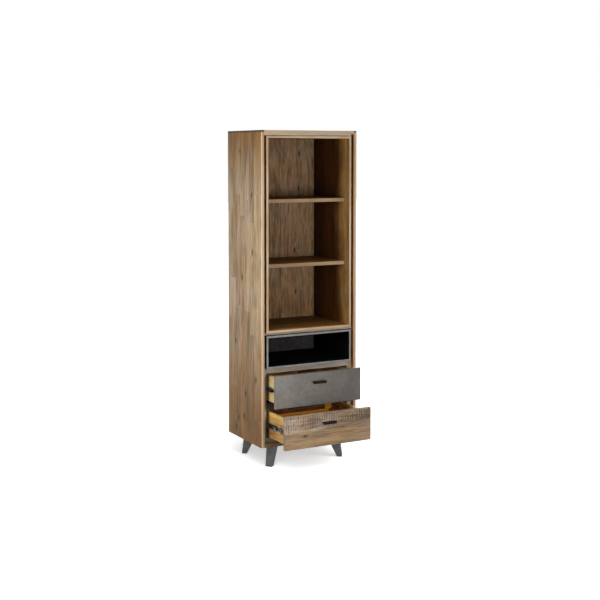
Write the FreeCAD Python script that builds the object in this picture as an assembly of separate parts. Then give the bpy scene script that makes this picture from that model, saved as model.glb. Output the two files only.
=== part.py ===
import FreeCAD, Part

import os

# A tall bookcase: an outer case on four splayed steel legs. Inside it, with a shadow gap all round,
# sit a wooden box with two shelves, a metal niche and two drawers on ball-bearing runners.
#
# Axes: +X to the right, +Y to the back, +Z up. The pieces are modelled with the case's front plane
# at y = 0 and the floor at z = 0. When saved they move along Y by origin_shift, which puts the
# origin on the floor under the middle of the whole piece, with the drawers as they are stored.

# ---------------------------------------------------------------------------------------------
# Driving dimensions, in millimetres
# ---------------------------------------------------------------------------------------------

# Whole piece
width = 600.0
depth = 425.0
height = 1850.0

# Outer case
case_board = 19.0
case_edge_round = 5.0
back_board = 4.0
back_rebate = 9.0

# Shadow gaps between the case and what stands in it
side_reveal = 15.0
top_reveal = 12.0
bottom_reveal = 11.0
front_setback = 3.0

# Inner frame, set behind the fronts
frame_setback = 28.0
runner_board = 25.0
rail_depth = 25.0
top_rail_height = 11.0
middle_rail_height = 36.0
bottom_rail_height = 26.0
upper_divider_board = 15.0
lower_divider_board = 29.0

# Modules, from the bottom up; the shelf box takes the height that is left
module_height = 180.0
module_gap = 20.5
niche_head_gap = 1.0

# Shelf box
box_wall = 12.0
box_back_board = 6.0
box_back_gap = 1.0
lower_bay = 337.0
middle_bay = 336.5
shelf_board = 20.0
shelf_setback = 55.0
shelf_play = 0.4
shelf_edge_round = 1.5

# Shelf pins
pin_radius = 2.5
pin_sunk_length = 8.0
pin_free_length = 9.0
pin_hole_play = 0.1
pin_edge_distance = 45.0

# Niche
niche_wall = 10.0
niche_sheet = 1.0
niche_bend = 1.4
niche_back_sheet = 1.5

# Drawers
front_board = 20.0
front_edge_round = 2.5
skin_sheet = 1.0
plank_joint_chamfer = 0.8
runner_width = 13.0
drawer_board = 15.0
drawer_edge_drop = 21.0
drawer_length = 365.0
drawer_bottom_board = 5.0
drawer_bottom_lift = 10.0
groove_depth = 5.0
groove_play = 0.3
tail_count = 4
pin_share = 0.34
tail_slope = 1.0 / 6.0
upper_drawer_open = 108.0
lower_drawer_open = 217.0

# Runners: three nested channels that pull out to their full length
runner_height = 35.0
runner_length = 350.0
runner_start = 2.0
channel_sheet = 1.2
channel_bend = 1.0
race_gap = 3.2
race_lip = 2.4
inner_race_lip = 0.5
nest_gap = 0.8
channel_step = 3.4
runner_slot_length = 12.0
runner_slot_height = 5.0
runner_slot_inset = 25.0

# Handles
handle_length = 80.0
handle_end_slant = 8.0
handle_height = 16.0
handle_projection = 22.0
handle_sheet = 2.5
handle_bend = 6.0
handle_lip_height = 11.5
handle_drop = 56.0
handle_screw_spacing = 50.0

# Handle screws
screw_radius = 2.0
screw_hole_play = 0.25
screw_head_radius = 4.0
screw_head_height = 2.8

# Legs
leg_height = 120.0
leg_side_inset = 76.0
leg_front_inset = 54.0
leg_turn = 36.0
leg_breadth = 39.0
leg_foot_depth = 29.0
leg_outer_lean = 0.12
leg_inner_lean = 0.50
leg_sheet = 2.5
leg_corner_round = 3.0
leg_plate_sheet = 3.0
leg_plate_length = 108.0
leg_plate_breadth = 74.0
leg_plate_round = 10.0
glide_thickness = 5.0
glide_inset = 1.0

# ---------------------------------------------------------------------------------------------
# Places worked out from the dimensions above
# ---------------------------------------------------------------------------------------------

half_width = width / 2
inner_half = half_width - case_board
module_half = inner_half - side_reveal
case_bottom = leg_height
case_floor = case_bottom + case_board
case_ceiling = height - case_board
back_face = depth - back_board

lower_front_bottom = case_floor + bottom_reveal
lower_front_top = lower_front_bottom + module_height
upper_front_bottom = lower_front_top + module_gap
upper_front_top = upper_front_bottom + module_height
niche_bottom = upper_front_top + module_gap
niche_top = niche_bottom + module_height
upper_divider_bottom = niche_top + niche_head_gap
box_bottom = upper_divider_bottom + upper_divider_board
box_top = case_ceiling - top_reveal
box_floor_top = box_bottom + box_wall
box_inner_half = module_half - box_wall
box_back_face = back_face - box_back_gap - box_back_board
lower_shelf_bottom = box_floor_top + lower_bay
upper_shelf_bottom = lower_shelf_bottom + shelf_board + middle_bay

runner_face = inner_half - runner_board
drawer_half = runner_face - runner_width
drawer_front_wall = front_setback + front_board
drawer_back_end = drawer_front_wall + drawer_length
runner_front = frame_setback + runner_start
handle_inner_bend = handle_bend - handle_sheet

lowest_y = front_setback - lower_drawer_open - handle_projection
origin_shift = FreeCAD.Vector(0, -(lowest_y + depth) / 2, 0)

# ---------------------------------------------------------------------------------------------
# Helpers
# ---------------------------------------------------------------------------------------------

X_AXIS = FreeCAD.Vector(1, 0, 0)
Y_AXIS = FreeCAD.Vector(0, 1, 0)
Z_AXIS = FreeCAD.Vector(0, 0, 1)
ORIGIN = FreeCAD.Vector(0, 0, 0)


def block(x_range, y_range, z_range):
    """A straight board between two corners."""
    corner = FreeCAD.Vector(x_range[0], y_range[0], z_range[0])
    sides = (x_range[1] - x_range[0], y_range[1] - y_range[0], z_range[1] - z_range[0])
    return Part.makeBox(sides[0], sides[1], sides[2], corner)


def prism(points, travel):
    """A straight prism over a closed polygon."""
    return Part.Face(Part.makePolygon(points + points[:1])).extrude(travel)


def mirrored(shape):
    """The shape's copy on the other side of the middle plane x = 0."""
    return shape.mirror(ORIGIN, X_AXIS)


def moved(shape, x=0.0, y=0.0, z=0.0):
    """The shape's copy at another place."""
    return shape.translated(FreeCAD.Vector(x, y, z))


def round_edges(shape, radius, chosen):
    """Rounds the straight edges for which chosen(middle, direction) is true."""
    edges = []
    for edge in shape.Edges:
        middle = edge.CenterOfMass
        direction = edge.tangentAt(edge.FirstParameter)
        if chosen(middle, direction):
            edges.append(edge)
    return shape.makeFillet(radius, edges)


def runs_along(direction, axis):
    """True for a direction parallel to the axis."""
    return abs(direction.dot(axis)) > 0.999


def close_to(value, target):
    """True for two coordinates that are the same."""
    return abs(value - target) < 0.01


def save(node, *solids):
    """Writes one node; several solids go into one file as a group."""
    shape = solids[0] if len(solids) == 1 else Part.makeCompound(list(solids))
    shape.translated(origin_shift).exportStep("parts/" + node + ".step")


# ---------------------------------------------------------------------------------------------
# Outer case
# ---------------------------------------------------------------------------------------------


def back_pocket():
    """The space that the back board fills, let into the sides, the top and the bottom."""
    reach = inner_half + back_rebate
    z_range = (case_floor - back_rebate, case_ceiling + back_rebate)
    return block((-reach, reach), (back_face, depth), z_range)


def case_side():
    """The left side: a full-height board with a rounded outer front edge and a rebate for the back."""
    board = block((-half_width, -inner_half), (0, depth), (case_bottom, height))

    def outer_front_edge(middle, direction):
        at_edge = close_to(middle.x, -half_width) and close_to(middle.y, 0)
        return at_edge and runs_along(direction, Z_AXIS)

    board = round_edges(board, case_edge_round, outer_front_edge)
    return board.cut(back_pocket())


def case_cross_board(z_low):
    """The top or the bottom: a board between the sides with a rebate for the back."""
    board = block((-inner_half, inner_half), (0, depth), (z_low, z_low + case_board))
    return board.cut(back_pocket())


def make_case():
    """Sides, top, bottom and back."""
    side = case_side()
    save("side_panel_left", side)
    save("side_panel_right", mirrored(side))
    save("top_panel", case_cross_board(case_ceiling))
    save("bottom_panel", case_cross_board(case_bottom))
    save("back_panel", back_pocket())


# ---------------------------------------------------------------------------------------------
# Inner frame
# ---------------------------------------------------------------------------------------------


def make_frame():
    """Runner boards, dividers and rails behind the fronts."""
    frame_range = (frame_setback, back_face)
    rail_range = (frame_setback, frame_setback + rail_depth)
    between_boards = (-runner_face, runner_face)
    between_sides = (-inner_half, inner_half)

    upright = block((-inner_half, -runner_face), frame_range, (case_floor, niche_bottom))
    save("runner_board_left", upright)
    save("runner_board_right", mirrored(upright))

    divider_low = niche_bottom - lower_divider_board
    save("lower_divider", block(between_boards, frame_range, (divider_low, niche_bottom)))
    save("upper_divider", block(between_sides, frame_range, (upper_divider_bottom, box_bottom)))

    rail_middle = lower_front_top + module_gap / 2
    middle_range = (rail_middle - middle_rail_height / 2, rail_middle + middle_rail_height / 2)
    save("middle_rail", block(between_boards, rail_range, middle_range))
    save("bottom_rail", block(between_boards, rail_range, (case_floor, case_floor + bottom_rail_height)))
    save("top_rail", block(between_sides, rail_range, (case_ceiling - top_rail_height, case_ceiling)))


# ---------------------------------------------------------------------------------------------
# Shelf box
# ---------------------------------------------------------------------------------------------


def mitred_walls(wall, y_range, z_low, z_high):
    """Left wall, floor and top wall of a box as wide as the modules, mitred where they meet."""
    inner_half_width = module_half - wall
    travel = FreeCAD.Vector(0, y_range[1] - y_range[0], 0)

    def corner(x, z):
        return FreeCAD.Vector(x, y_range[0], z)

    left = [
        corner(-module_half, z_low),
        corner(-inner_half_width, z_low + wall),
        corner(-inner_half_width, z_high - wall),
        corner(-module_half, z_high),
    ]
    floor = [
        corner(-module_half, z_low),
        corner(module_half, z_low),
        corner(inner_half_width, z_low + wall),
        corner(-inner_half_width, z_low + wall),
    ]
    top = [
        corner(-module_half, z_high),
        corner(-inner_half_width, z_high - wall),
        corner(inner_half_width, z_high - wall),
        corner(module_half, z_high),
    ]
    return [prism(points, travel) for points in (left, floor, top)]


def shelf_pin_places():
    """Where the pins on the left enter the wall: two under each shelf."""
    shelf_front = front_setback + shelf_setback
    shelf_back = box_back_face - shelf_play
    y_places = (shelf_front + pin_edge_distance, shelf_back - pin_edge_distance)
    z_places = (lower_shelf_bottom - pin_radius, upper_shelf_bottom - pin_radius)
    return [FreeCAD.Vector(-box_inner_half, y, z) for z in z_places for y in y_places]


def shelf_pin(place):
    """One steel pin: half of it in the wall, half of it under the shelf."""
    start = place - X_AXIS * pin_sunk_length
    return Part.makeCylinder(pin_radius, pin_sunk_length + pin_free_length, start, X_AXIS)


def make_shelf_box():
    """Walls, back, shelves and pins."""
    wall_range = (front_setback, back_face - box_back_gap)
    left, floor, top = mitred_walls(box_wall, wall_range, box_bottom, box_top)
    for place in shelf_pin_places():
        hole_start = place - X_AXIS * pin_sunk_length
        left = left.cut(
            Part.makeCylinder(pin_radius + pin_hole_play, pin_sunk_length, hole_start, X_AXIS)
        )
    save("box_side_left", left)
    save("box_side_right", mirrored(left))
    save("box_floor", floor)
    save("box_top", top)
    back = block(
        (-box_inner_half, box_inner_half),
        (box_back_face, box_back_face + box_back_board),
        (box_floor_top, box_top - box_wall),
    )
    save("box_back", back)

    for node, z_low in (("shelf_lower", lower_shelf_bottom), ("shelf_upper", upper_shelf_bottom)):
        shelf_half = box_inner_half - shelf_play
        shelf_front = front_setback + shelf_setback
        shelf = block(
            (-shelf_half, shelf_half),
            (shelf_front, box_back_face - shelf_play),
            (z_low, z_low + shelf_board),
        )

        def front_edges(middle, direction):
            return close_to(middle.y, shelf_front) and runs_along(direction, X_AXIS)

        save(node, round_edges(shelf, shelf_edge_round, front_edges))

    left_pins = [shelf_pin(place) for place in shelf_pin_places()]
    right_pins = [mirrored(pin) for pin in left_pins]
    save("shelf_pins", *left_pins, *right_pins)


# ---------------------------------------------------------------------------------------------
# Niche
# ---------------------------------------------------------------------------------------------


def niche_lining(inner_half_width, z_inner):
    """Sheet metal that covers the front edges of the niche's boards and lines their inner faces."""
    edge_range = (front_setback, front_setback + niche_sheet)
    edges = block((-module_half, module_half), edge_range, (niche_bottom, niche_top))
    tube_range = (front_setback, back_face - box_back_gap)
    outer_half_width = module_half - niche_wall
    z_outer = (niche_bottom + niche_wall, niche_top - niche_wall)
    tube = block((-outer_half_width, outer_half_width), tube_range, z_outer)
    inside = block((-inner_half_width, inner_half_width), tube_range, z_inner)
    lining = edges.fuse(tube).cut(inside).removeSplitter()

    def bends(middle, direction):
        on_front = close_to(middle.y, front_setback)
        on_rim = abs(middle.x) < outer_half_width and z_outer[0] < middle.z < z_outer[1]
        return on_front and on_rim

    return round_edges(lining, niche_bend, bends)


def make_niche():
    """Four mitred boards with a metal lining and a metal back."""
    y_back = back_face - box_back_gap
    walls = mitred_walls(niche_wall, (front_setback + niche_sheet, y_back), niche_bottom, niche_top)
    side, floor, top = walls
    save("niche_sides", side, mirrored(side))
    save("niche_floor", floor)
    save("niche_top", top)
    inner_half_width = module_half - niche_wall - niche_sheet
    z_inner = (niche_bottom + niche_wall + niche_sheet, niche_top - niche_wall - niche_sheet)
    save("niche_lining", niche_lining(inner_half_width, z_inner))
    back_range = (y_back - niche_back_sheet, y_back)
    save("niche_back", block((-inner_half_width, inner_half_width), back_range, z_inner))


# ---------------------------------------------------------------------------------------------
# Legs
# ---------------------------------------------------------------------------------------------


def leg_reach(level, inset):
    """Inner and outer end of a leg's section at a height above the floor, in the leg's own axes.

    The leg's own x runs outwards, to the corner of the case, and its origin is the middle of
    the foot. The inset shrinks the section on all sides.
    """
    inner = -leg_foot_depth / 2 - leg_inner_lean * level + inset
    outer = leg_foot_depth / 2 - leg_outer_lean * level - inset
    return inner, outer


def leg_taper(low, high, inset):
    """The solid between two of the leg's sections, with flat faces.

    A wedge tapers along its own y, so it is made lying down and then turned upright.
    """
    inner_low, outer_low = leg_reach(low, inset)
    inner_high, outer_high = leg_reach(high, inset)
    side = leg_breadth / 2 - inset
    near_corners = (inner_low, low, -side, -side, inner_high)
    far_corners = (outer_low, high, side, side, outer_high)
    taper = Part.makeWedge(*near_corners, *far_corners)
    taper.rotate(ORIGIN, X_AXIS, 90)
    return taper


def rises(_, direction):
    """Chooses the edges that run upwards, straight or slanting."""
    return abs(direction.z) > abs(direction.x) + abs(direction.y)


def leg_plate_middle():
    """How far the middle of the screw plate lies inwards of the foot's middle."""
    return (leg_outer_lean + leg_inner_lean) / 2 * leg_height


def leg_shell():
    """A tapered tube of folded sheet, closed at the foot, welded under its screw plate."""
    plate_low = leg_height - leg_plate_sheet
    tube = leg_taper(glide_thickness, plate_low, 0)
    tube = round_edges(tube, leg_corner_round, rises)
    tube = tube.cut(leg_taper(glide_thickness + leg_sheet, plate_low, leg_sheet))
    middle = -leg_plate_middle()
    plate = block(
        (middle - leg_plate_length / 2, middle + leg_plate_length / 2),
        (-leg_plate_breadth / 2, leg_plate_breadth / 2),
        (plate_low, leg_height),
    )

    plate = round_edges(plate, leg_plate_round, rises)
    return plate.fuse(tube).removeSplitter()


def leg_glide():
    """The plastic pad under the foot."""
    return leg_taper(0, glide_thickness, glide_inset)


def leg_stands():
    """Name, turn about Z and foot place of each leg."""
    x = half_width - leg_side_inset
    y_front = leg_front_inset
    y_back = depth - leg_front_inset
    return [
        ("leg_front_left", 180 + leg_turn, FreeCAD.Vector(-x, y_front, 0)),
        ("leg_front_right", -leg_turn, FreeCAD.Vector(x, y_front, 0)),
        ("leg_back_left", 180 - leg_turn, FreeCAD.Vector(-x, y_back, 0)),
        ("leg_back_right", leg_turn, FreeCAD.Vector(x, y_back, 0)),
    ]


def at_stand(shape, turn, place):
    """A leg's piece turned towards its corner and set at its foot place."""
    stood = shape.copy()
    stood.rotate(ORIGIN, Z_AXIS, turn)
    stood.translate(place)
    return stood


def make_legs():
    """Legs and glides."""
    shell = leg_shell()
    glide = leg_glide()
    for name, turn, place in leg_stands():
        save(name, at_stand(shell, turn, place))
    save("leg_glides", *[at_stand(glide, turn, place) for _, turn, place in leg_stands()])


# ---------------------------------------------------------------------------------------------
# Drawer boxes
# ---------------------------------------------------------------------------------------------


def dovetail_pins(z_low, z_high, y_end, y_root):
    """The pins of one corner joint on the left, through the full thickness of the drawer side.

    The pins are narrow at the joint's outer end (y_end) and wide at its root (y_root). The first
    and the last are half pins.
    """
    pitch = (z_high - z_low) / tail_count
    pin_half = pitch * pin_share / 2
    flare = tail_slope * abs(y_root - y_end) / 2
    travel = FreeCAD.Vector(drawer_board, 0, 0)
    board = block(
        (-drawer_half, -drawer_half + drawer_board),
        (min(y_end, y_root), max(y_end, y_root)),
        (z_low, z_high),
    )
    pins = []
    for index in range(tail_count + 1):
        z = z_low + index * pitch
        points = [
            FreeCAD.Vector(-drawer_half, y_end, z - pin_half + flare),
            FreeCAD.Vector(-drawer_half, y_end, z + pin_half - flare),
            FreeCAD.Vector(-drawer_half, y_root, z + pin_half + flare),
            FreeCAD.Vector(-drawer_half, y_root, z - pin_half - flare),
        ]
        pins.append(prism(points, travel).common(board))
    return pins


def drawer_boards(z_low, z_high):
    """Left side, inner front, back and bottom of a drawer box, in its closed place."""
    y_front = drawer_front_wall
    y_back = drawer_back_end
    inner = drawer_half - drawer_board
    front_root = y_front + drawer_board
    back_root = y_back - drawer_board
    front_pins = dovetail_pins(z_low, z_high, y_front, front_root)
    back_pins = dovetail_pins(z_low, z_high, y_back, back_root)

    side = block((-drawer_half, -inner), (y_front, y_back), (z_low, z_high))
    for pin in front_pins + back_pins:
        side = side.cut(pin)

    walls = []
    for pins, y_range in ((front_pins, (y_front, front_root)), (back_pins, (back_root, y_back))):
        wall = block((-inner, inner), y_range, (z_low, z_high))
        wall = wall.multiFuse(pins + [mirrored(pin) for pin in pins])
        walls.append(wall.removeSplitter())

    groove_reach = inner + groove_depth
    groove_ends = (front_root - groove_depth, back_root + groove_depth)
    bottom_low = z_low + drawer_bottom_lift
    groove = block(
        (-groove_reach, groove_reach), groove_ends, (bottom_low, bottom_low + drawer_bottom_board)
    )
    bottom = block(
        (-groove_reach + groove_play, groove_reach - groove_play),
        (groove_ends[0] + groove_play, groove_ends[1] - groove_play),
        (bottom_low, bottom_low + drawer_bottom_board),
    )
    inner_front, back = [wall.cut(groove) for wall in walls]
    return side.cut(groove), inner_front, back, bottom


def screw_places(front_top):
    """Where the two handle screws cross the front, in its closed place."""
    z = front_top - handle_drop
    x_places = (-handle_screw_spacing / 2, handle_screw_spacing / 2)
    return [FreeCAD.Vector(x, front_setback, z) for x in x_places]


def drill_front(shape, front_top):
    """Clearance holes for the handle screws, from the front face to inside the drawer."""
    for place in screw_places(front_top):
        bore = Part.makeCylinder(screw_radius + screw_hole_play, front_board + drawer_board, place, Y_AXIS)
        shape = shape.cut(bore)
    return shape


def slant_ends(pull, z_low, z_high):
    """Trims both ends of a pull, so that they slant inwards from its top to its bottom."""
    half_top = handle_length / 2
    half_bottom = half_top - handle_end_slant
    corners = ((-half_bottom, z_low), (half_bottom, z_low), (half_top, z_high), (-half_top, z_high))
    outline = [FreeCAD.Vector(x, front_setback, z) for x, z in corners]
    return pull.common(prism(outline, -Y_AXIS * handle_projection))


def handle(front_top):
    """A bent steel pull, open below and at both ends: back flange, top web and front lip."""
    z_middle = front_top - handle_drop
    z_high = z_middle + handle_height / 2
    z_low = z_middle - handle_height / 2
    y_back = front_setback
    y_front = front_setback - handle_projection
    lip_low = z_high - handle_lip_height
    points = [
        (y_back, z_low),
        (y_back, z_high),
        (y_front, z_high),
        (y_front, lip_low),
        (y_front + handle_sheet, lip_low),
        (y_front + handle_sheet, z_high - handle_sheet),
        (y_back - handle_sheet, z_high - handle_sheet),
        (y_back - handle_sheet, z_low),
    ]
    section = [FreeCAD.Vector(-handle_length / 2, y, z) for y, z in points]
    pull = prism(section, FreeCAD.Vector(handle_length, 0, 0))

    def outer_bend(middle, direction):
        at_bend = close_to(middle.y, y_front) and close_to(middle.z, z_high)
        return at_bend and runs_along(direction, X_AXIS)

    def inner_bend(middle, direction):
        at_bend = close_to(middle.y, y_front + handle_sheet) and close_to(middle.z, z_high - handle_sheet)
        return at_bend and runs_along(direction, X_AXIS)

    pull = round_edges(pull, handle_bend, outer_bend)
    pull = round_edges(pull, handle_inner_bend, inner_bend)
    pull = slant_ends(pull, z_low, z_high)
    for place in screw_places(front_top):
        bore = Part.makeCylinder(screw_radius, handle_sheet, place - Y_AXIS * handle_sheet, Y_AXIS)
        pull = pull.cut(bore)
    return pull


def handle_screws(front_top):
    """Two machine screws with their heads inside the drawer and their ends in the handle's flange."""
    screws = []
    length = handle_sheet + front_board + drawer_board
    for place in screw_places(front_top):
        tip = place - Y_AXIS * handle_sheet
        shank = Part.makeCylinder(screw_radius, length, tip, Y_AXIS)
        head = Part.makeCylinder(screw_head_radius, screw_head_height, tip + Y_AXIS * length, Y_AXIS)
        screws.append(shank.fuse(head).removeSplitter())
    return screws


def front_edges_of(shape, radius, z_chosen):
    """Rounds a front board's outer edges: the front face's ends and its edges at the given heights."""

    def chosen(middle, direction):
        on_front = close_to(middle.y, front_setback)
        upright = runs_along(direction, Z_AXIS)
        level = any(close_to(middle.z, z) for z in z_chosen)
        return on_front and (upright or level)

    return round_edges(shape, radius, chosen)


def plank_front(z_low, z_high):
    """A front of two planks, one above the other, with a fine chamfer along their glued joint."""
    z_joint = (z_low + z_high) / 2
    planks = []
    for z_range, z_outer in (((z_joint, z_high), z_high), ((z_low, z_joint), z_low)):
        plank = block((-module_half, module_half), (front_setback, drawer_front_wall), z_range)
        joint_edges = [
            edge
            for edge in plank.Edges
            if close_to(edge.CenterOfMass.z, z_joint) and close_to(edge.CenterOfMass.y, front_setback)
        ]
        plank = plank.makeChamfer(plank_joint_chamfer, joint_edges)
        planks.append(front_edges_of(plank, front_edge_round, (z_outer,)))
    return planks


def clad_front(z_low, z_high):
    """A front of a wooden core in a folded metal skin that covers its face and its four edges."""
    full = block((-module_half, module_half), (front_setback, drawer_front_wall), (z_low, z_high))
    full = front_edges_of(full, front_edge_round, (z_low, z_high))
    core_range = (front_setback + skin_sheet, drawer_front_wall)
    core = block(
        (-module_half + skin_sheet, module_half - skin_sheet),
        core_range,
        (z_low + skin_sheet, z_high - skin_sheet),
    )

    def core_edges(middle, direction):
        return close_to(middle.y, core_range[0]) and not runs_along(direction, Y_AXIS)

    core = round_edges(core, front_edge_round - skin_sheet, core_edges)
    return core, full.cut(core)


def make_drawer(prefix, front_bottom, drawer_open, front_nodes, front_shapes):
    """One drawer, pulled out by drawer_open, with its front pieces under the given names."""
    front_top = front_bottom + module_height
    z_low = front_bottom + drawer_edge_drop
    z_high = front_top - drawer_edge_drop
    side, inner_front, back, bottom = drawer_boards(z_low, z_high)
    pieces = {
        "side_left": [side],
        "side_right": [mirrored(side)],
        "inner_front": [drill_front(inner_front, front_top)],
        "back": [back],
        "bottom": [bottom],
        "handle": [handle(front_top)],
        "handle_screws": handle_screws(front_top),
    }
    for node, shape in zip(front_nodes, front_shapes):
        pieces[node] = [drill_front(shape, front_top)]
    for node, solids in pieces.items():
        save(prefix + "_" + node, *[moved(solid, y=-drawer_open) for solid in solids])


# ---------------------------------------------------------------------------------------------
# Runners
# ---------------------------------------------------------------------------------------------


def channel(depth_range, half_height, lip, opens_inwards, z_middle):
    """A rolled channel of a runner on the left, in its closed place.

    depth_range is measured from the runner board's face towards the drawer. The channel's web
    stands on the cabinet side, or on the drawer side if it opens outwards, and its two flanges
    end in lips that hold the balls.
    """
    near, far = depth_range
    sheet = channel_sheet
    if opens_inwards:
        web_outer, web_inner, flange_end = near, near + sheet, far
        step = -sheet
    else:
        web_outer, web_inner, flange_end = far, far - sheet, near
        step = sheet
    half = half_height
    lip_low = half - sheet - lip
    profile = [
        (web_outer, -half),
        (web_outer, half),
        (flange_end, half),
        (flange_end, lip_low),
        (flange_end + step, lip_low),
        (flange_end + step, half - sheet),
        (web_inner, half - sheet),
        (web_inner, -half + sheet),
        (flange_end + step, -half + sheet),
        (flange_end + step, -lip_low),
        (flange_end, -lip_low),
        (flange_end, -half),
    ]
    points = [FreeCAD.Vector(-runner_face + x, runner_front, z_middle + z) for x, z in profile]
    rolled = prism(points, FreeCAD.Vector(0, runner_length, 0))

    def outer_bends(middle, direction):
        on_flange = close_to(abs(middle.z - z_middle), half)
        return on_flange and runs_along(direction, Y_AXIS)

    return round_edges(rolled, channel_bend, outer_bends)


def slot_channel(rolled, z_middle, faces):
    """Two screw slots through a channel's web."""
    z_range = (z_middle - runner_slot_height / 2, z_middle + runner_slot_height / 2)
    x_range = (-runner_face + faces[0], -runner_face + faces[1])
    for y in (runner_front + runner_slot_inset, runner_front + runner_length - runner_slot_inset):
        rolled = rolled.cut(
            block(x_range, (y - runner_slot_length / 2, y + runner_slot_length / 2), z_range)
        )
    return rolled


def runner_members(z_middle):
    """The cabinet, middle and drawer members of a runner on the left, all closed."""
    cabinet_half = runner_height / 2
    middle_half = cabinet_half - channel_sheet - race_gap
    drawer_half_height = middle_half - channel_sheet - race_gap
    cabinet_far = runner_width - channel_step
    cabinet = channel((0, cabinet_far), cabinet_half, race_lip, True, z_middle)
    middle_near = channel_sheet + nest_gap
    middle_far = cabinet_far + channel_sheet
    middle = channel((middle_near, middle_far), middle_half, race_lip, True, z_middle)
    drawer_near = middle_near + channel_sheet + nest_gap
    drawer = channel((drawer_near, runner_width), drawer_half_height, inner_race_lip, False, z_middle)
    cabinet = slot_channel(cabinet, z_middle, (0, channel_sheet))
    drawer = slot_channel(drawer, z_middle, (runner_width - channel_sheet, runner_width))
    return cabinet, middle, drawer


def make_runners(prefix, front_bottom, drawer_open):
    """Both runners of a drawer: the middle members are pulled out half as far as the drawer."""
    z_middle = front_bottom + module_height / 2
    cabinet, middle, drawer = runner_members(z_middle)
    stages = (
        ("runner_cabinet", cabinet, 0),
        ("runner_middle", middle, drawer_open / 2),
        ("runner_drawer", drawer, drawer_open),
    )
    for stage, member, pull in stages:
        pulled = moved(member, y=-pull)
        save(prefix + "_" + stage + "_left", pulled)
        save(prefix + "_" + stage + "_right", mirrored(pulled))


# ---------------------------------------------------------------------------------------------
# Everything
# ---------------------------------------------------------------------------------------------

os.makedirs("parts", exist_ok=True)
make_case()
make_frame()
make_shelf_box()
make_niche()
make_legs()
make_drawer(
    "upper",
    upper_front_bottom,
    upper_drawer_open,
    ("front_core", "front_skin"),
    clad_front(upper_front_bottom, upper_front_top),
)
make_drawer(
    "lower",
    lower_front_bottom,
    lower_drawer_open,
    ("front_plank_top", "front_plank_bottom"),
    plank_front(lower_front_bottom, lower_front_top),
)
make_runners("upper", upper_front_bottom, upper_drawer_open)
make_runners("lower", lower_front_bottom, lower_drawer_open)
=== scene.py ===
"""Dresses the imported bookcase: finishes, small fasteners, the saw's marks and a studio."""

import math
import random

import bmesh
import bpy
from mathutils import Matrix, Vector


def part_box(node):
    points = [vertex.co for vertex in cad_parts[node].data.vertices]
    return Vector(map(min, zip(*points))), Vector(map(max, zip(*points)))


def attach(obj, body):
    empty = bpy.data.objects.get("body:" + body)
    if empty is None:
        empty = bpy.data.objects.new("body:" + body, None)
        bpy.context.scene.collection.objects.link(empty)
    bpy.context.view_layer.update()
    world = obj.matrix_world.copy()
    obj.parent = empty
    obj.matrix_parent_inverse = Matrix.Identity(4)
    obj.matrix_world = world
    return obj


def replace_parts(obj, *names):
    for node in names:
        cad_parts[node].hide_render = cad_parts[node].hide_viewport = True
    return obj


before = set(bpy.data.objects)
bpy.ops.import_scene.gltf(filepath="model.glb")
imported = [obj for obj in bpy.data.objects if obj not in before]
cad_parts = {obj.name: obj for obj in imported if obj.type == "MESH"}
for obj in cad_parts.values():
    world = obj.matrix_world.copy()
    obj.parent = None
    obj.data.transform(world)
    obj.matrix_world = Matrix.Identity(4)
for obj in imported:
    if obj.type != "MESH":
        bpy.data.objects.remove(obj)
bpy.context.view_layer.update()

bl_info = {
    "name": "Bookcase with bottom drawers",
    "version": (1, 0, 0),
    "blender": (4, 5, 0),
    "location": "View3D > Sidebar > Bookcase",
    "description": "Finishes, small fasteners and a studio for a bookcase with two drawers",
    "category": "Object",
}


def tone(*steps):
    """A display colour, in steps of 0 to 255, as the linear colour that Blender works with."""
    shares = [step / 255 for step in steps]
    return tuple(
        share / 12.92 if share <= 0.04045 else ((share + 0.055) / 1.055) ** 2.4 for share in shares
    )


def times(base, *factors):
    """A colour times one factor, or times one each for red, green and blue."""
    factors = factors * 3 if len(factors) == 1 else factors
    return [min(1.0, part * factor) for part, factor in zip(base, factors)]


def colour(name, description, *steps):
    """A colour that a user may change."""
    return bpy.props.FloatVectorProperty(
        name=name, description=description, default=tone(*steps), subtype="COLOR", min=0.0, max=1.0
    )


def length(name, description, default):
    """A size in metres that a user may change."""
    return bpy.props.FloatProperty(
        name=name, description=description, default=default, min=0.0,
        unit="LENGTH", subtype="DISTANCE",
    )


def number(name, description, default):
    """A plain positive number that a user may change."""
    return bpy.props.FloatProperty(name=name, description=description, default=default, min=0.0)


# --- Settings ---


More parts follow.
